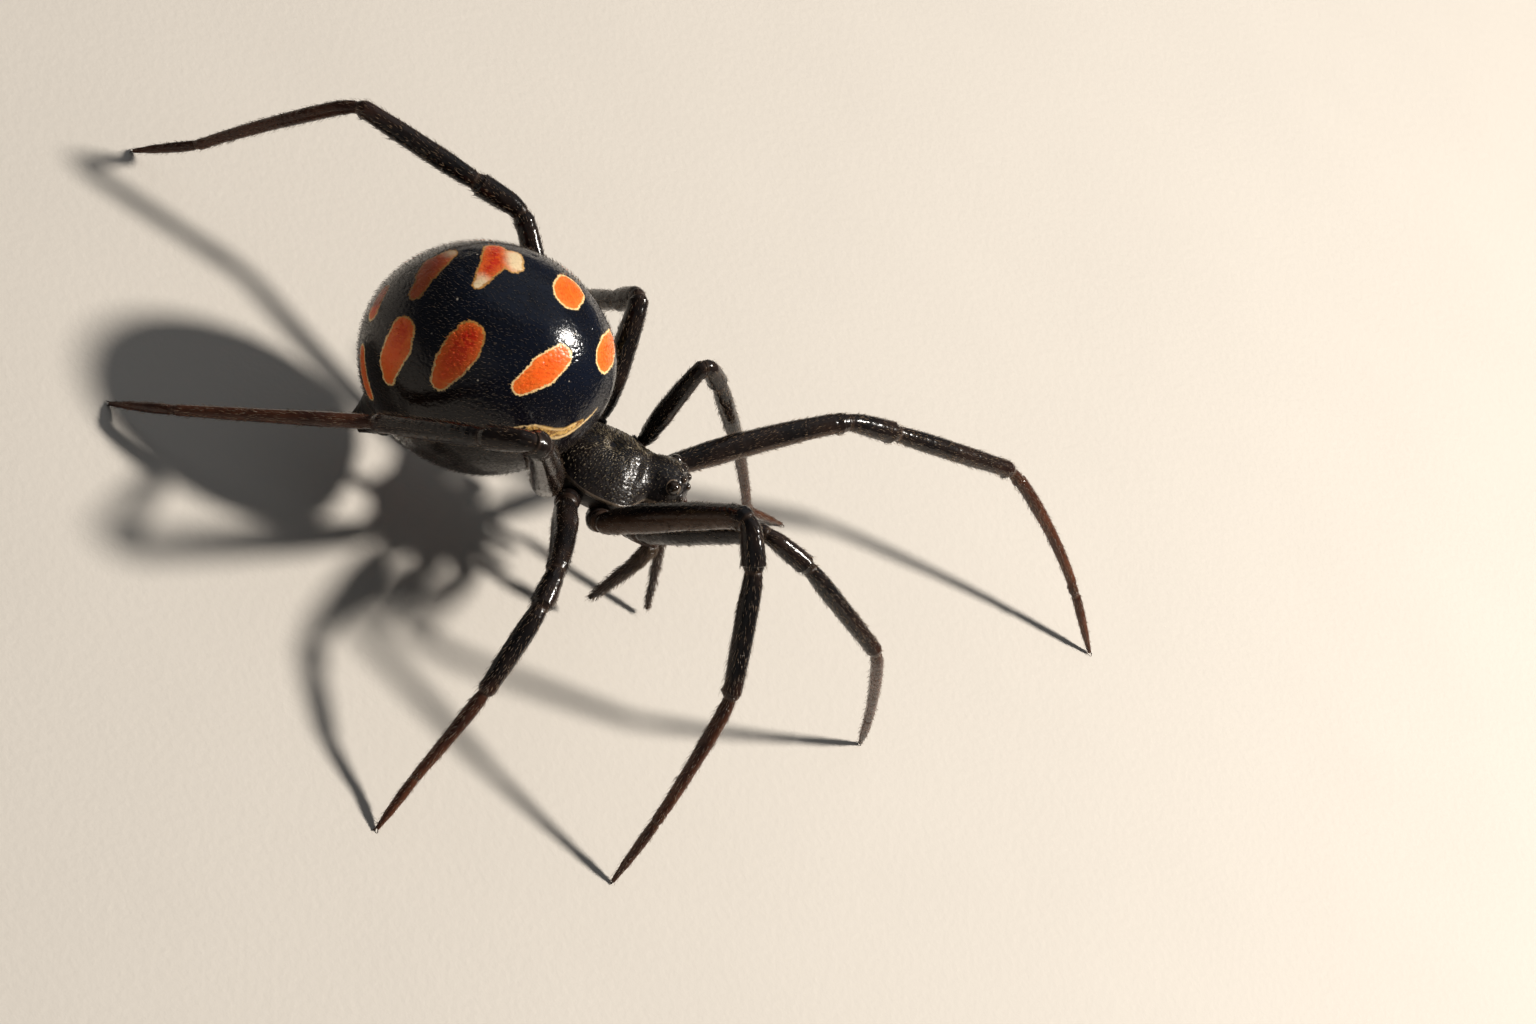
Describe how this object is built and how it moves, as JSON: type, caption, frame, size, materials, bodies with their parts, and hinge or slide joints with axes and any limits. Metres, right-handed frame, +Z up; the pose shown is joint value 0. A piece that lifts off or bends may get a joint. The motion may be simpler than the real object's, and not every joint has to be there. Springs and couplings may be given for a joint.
{
  "type": "black widow spider model",
  "caption": "Life-size still model of an adult female black widow spider with a glossy globe abdomen and long thin legs, standing on its feet.",
  "frame": {"origin": "on the floor, under the middle of the whole spider's box", "axes": "+Z up, +X the way the head faces, +Y towards the spider's left side"},
  "size_m": [0.0448, 0.0292, 0.012],
  "materials": {
    "abdomen_skin": "glossy black skin with orange-red spots edged in cream",
    "body_shell": "satin black shell with fine golden hairs",
    "leg_shell": "glossy black shell with fine hairs",
    "foot_shell": "dark reddish-brown shell with fine hairs",
    "eye_lens": "clear dark gloss"
  },
  "bodies": {
    "root": {"abdomen": "abdomen_skin", "carapace": "body_shell", "sternum": "body_shell", "pedicel": "body_shell", "spinnerets": "body_shell", "chelicera_l": "body_shell", "chelicera_r": "body_shell", "maxilla_l": "body_shell", "maxilla_r": "body_shell", "palp_l_upper": "foot_shell", "palp_l_lower": "foot_shell", "palp_r_upper": "foot_shell", "palp_r_lower": "foot_shell", "eye_front_middle_l": "eye_lens", "eye_front_middle_r": "eye_lens", "eye_back_middle_l": "eye_lens", "eye_back_middle_r": "eye_lens", "eye_front_side_l": "eye_lens", "eye_front_side_r": "eye_lens", "eye_back_side_l": "eye_lens", "eye_back_side_r": "eye_lens", "leg_l1_coxa": "leg_shell", "leg_l1_femur": "leg_shell", "leg_l1_tibia": "leg_shell", "leg_l1_foot": "foot_shell", "leg_l2_coxa": "leg_shell", "leg_l2_femur": "leg_shell", "leg_l2_tibia": "leg_shell", "leg_l2_foot": "foot_shell", "leg_l3_coxa": "leg_shell", "leg_l3_femur": "leg_shell", "leg_l3_tibia": "leg_shell", "leg_l3_foot": "foot_shell", "leg_l4_coxa": "leg_shell", "leg_l4_femur": "leg_shell", "leg_l4_tibia": "leg_shell", "leg_l4_foot": "foot_shell", "leg_r1_coxa": "leg_shell", "leg_r1_femur": "leg_shell", "leg_r1_tibia": "leg_shell", "leg_r1_foot": "foot_shell", "leg_r2_coxa": "leg_shell", "leg_r2_femur": "leg_shell", "leg_r2_tibia": "leg_shell", "leg_r2_foot": "foot_shell", "leg_r3_coxa": "leg_shell", "leg_r3_femur": "leg_shell", "leg_r3_tibia": "leg_shell", "leg_r3_foot": "foot_shell", "leg_r4_coxa": "leg_shell", "leg_r4_femur": "leg_shell", "leg_r4_tibia": "leg_shell", "leg_r4_foot": "foot_shell"}
  },
  "joints": []
}
